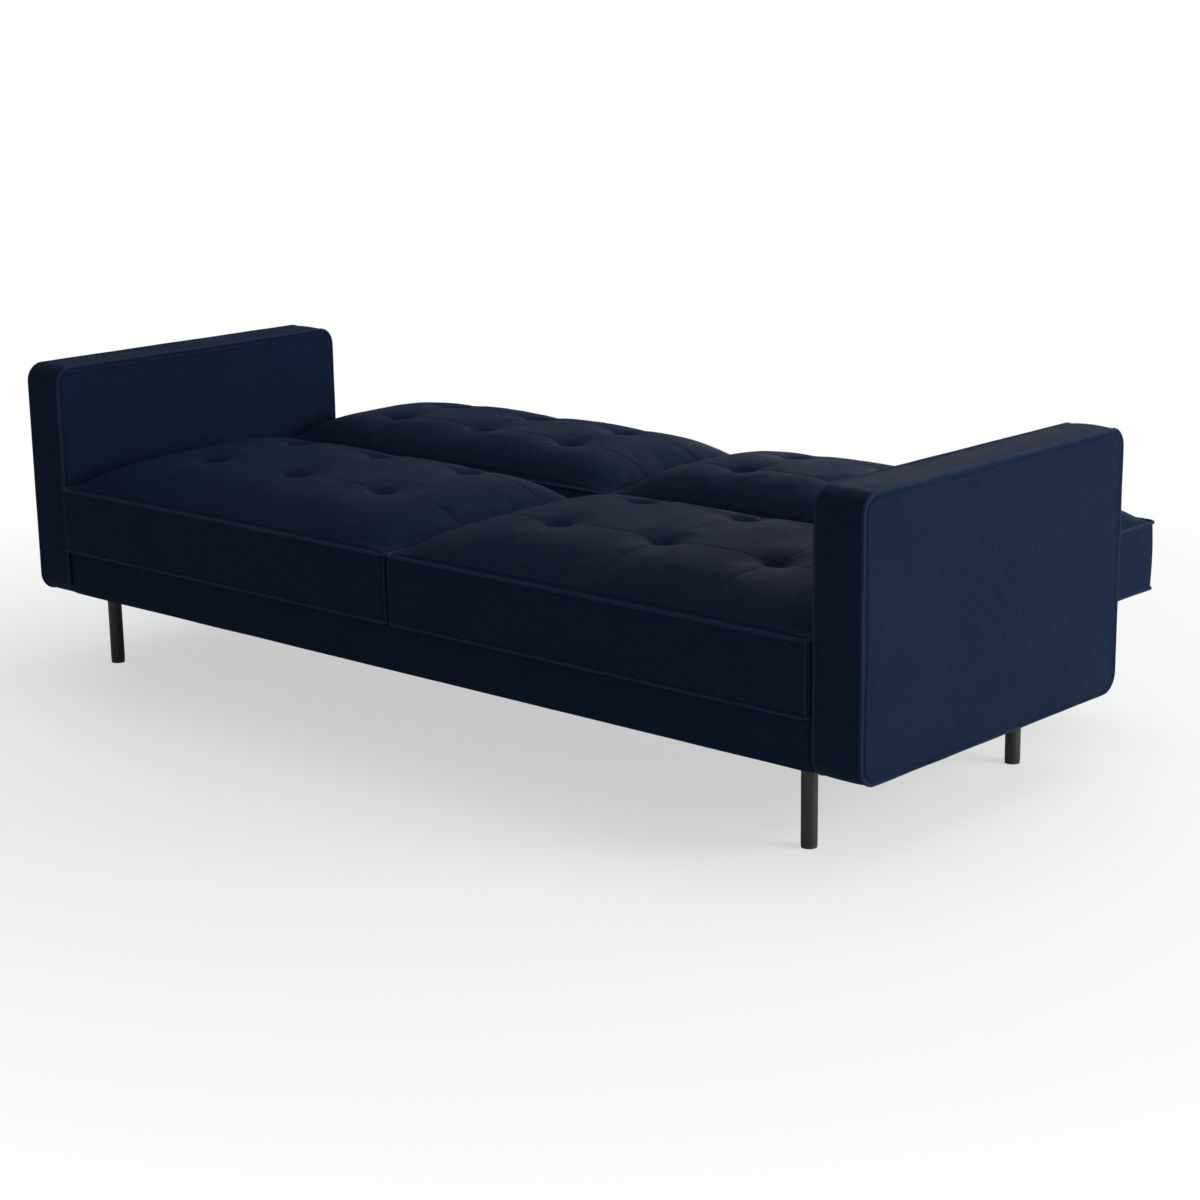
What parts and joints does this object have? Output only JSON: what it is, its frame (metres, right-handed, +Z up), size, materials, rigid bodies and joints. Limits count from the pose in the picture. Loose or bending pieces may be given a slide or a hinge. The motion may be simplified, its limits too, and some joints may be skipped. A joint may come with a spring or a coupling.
{
  "type": "sofa bed",
  "caption": "Button-tufted fold-flat sofa bed with slab arms and tube legs: the seat lifts, the back folds flat on a notched hinge.",
  "frame": {"origin": "on the floor under the middle of the outline, with the back folded flat", "axes": "+X along the seat to the right-hand arm seen from the front, +Y from the seat to the back, +Z up"},
  "size_m": [2.12, 1.055, 0.6165],
  "materials": {
    "velvet": "dark navy short-pile velvet",
    "timber": "planed softwood",
    "black_metal": "satin black powder coat",
    "black_hinge": "black lacquered steel plate",
    "steel": "zinc plated",
    "rubber": "matt",
    "black_plastic": "moulded",
    "lining": "non-woven cloth",
    "webbing": "woven elastic webbing"
  },
  "bodies": {
    "base": {"arm_bolts": "steel", "arm_frame_left": "timber", "arm_frame_right": "timber", "arm_piping_left": "velvet", "arm_piping_right": "velvet", "arm_upholstery_left": "velvet", "arm_upholstery_right": "velvet", "base_dust_cover": "lining", "centre_beam": "timber", "corner_blocks": "timber", "foot_glides": "black_plastic", "front_rail": "timber", "front_rail_cover": "velvet", "hinge_base_bolts": "steel", "hinge_base_plate_left": "black_hinge", "hinge_base_plate_right": "black_hinge", "leg_front_left": "black_metal", "leg_front_right": "black_metal", "leg_plates": "black_metal", "leg_rear_left": "black_metal", "leg_rear_right": "black_metal", "leg_screws": "steel", "rear_rail": "timber", "rear_rail_cover": "velvet", "seat_hinge_pins": "steel", "seat_rests": "rubber", "side_rail_left": "timber", "side_rail_right": "timber"},
    "seat": {"back_hinge_pins": "steel", "pawl_pins": "steel", "seat_buttons": "velvet", "seat_centre_timber": "timber", "seat_cushion_left": "velvet", "seat_cushion_right": "velvet", "seat_front_timber": "timber", "seat_hinge_bar_left": "black_hinge", "seat_hinge_bar_right": "black_hinge", "seat_hinge_bolts": "steel", "seat_panel": "lining", "seat_piping": "velvet", "seat_rear_timber": "timber", "seat_side_timber_left": "timber", "seat_side_timber_right": "timber", "seat_webbing": "webbing"},
    "back": {"back_buttons": "velvet", "back_centre_timber": "timber", "back_cushion_left": "velvet", "back_cushion_right": "velvet", "back_hinge_bar_left": "black_hinge", "back_hinge_bar_right": "black_hinge", "back_hinge_bolts": "steel", "back_lower_timber": "timber", "back_panel": "lining", "back_piping": "velvet", "back_side_timber_left": "timber", "back_side_timber_right": "timber", "back_top_timber": "timber", "back_webbing": "webbing"},
    "pawl_left": {"pawl_left": "steel"},
    "pawl_right": {"pawl_right": "steel"}
  },
  "joints": [
    {"name": "seat_lift", "type": "hinge", "parent": "base", "child": "seat", "pos_m": [0, 0.086, 0.235], "axis": [-1, 0, 0], "range_deg": [0, 25]},
    {"name": "back_fold", "type": "hinge", "parent": "seat", "child": "back", "pos_m": [0, 0.046, 0.35], "axis": [1, 0, 0], "range_deg": [0, 75]},
    {"name": "pawl_left_turn", "type": "hinge", "parent": "seat", "child": "pawl_left", "pos_m": [-0.8995, 0.03128, 0.3042], "axis": [-1, 0, 0], "range_deg": [0, 8]},
    {"name": "pawl_right_turn", "type": "hinge", "parent": "seat", "child": "pawl_right", "pos_m": [0.8995, 0.03128, 0.3042], "axis": [-1, 0, 0], "range_deg": [0, 8]}
  ]
}
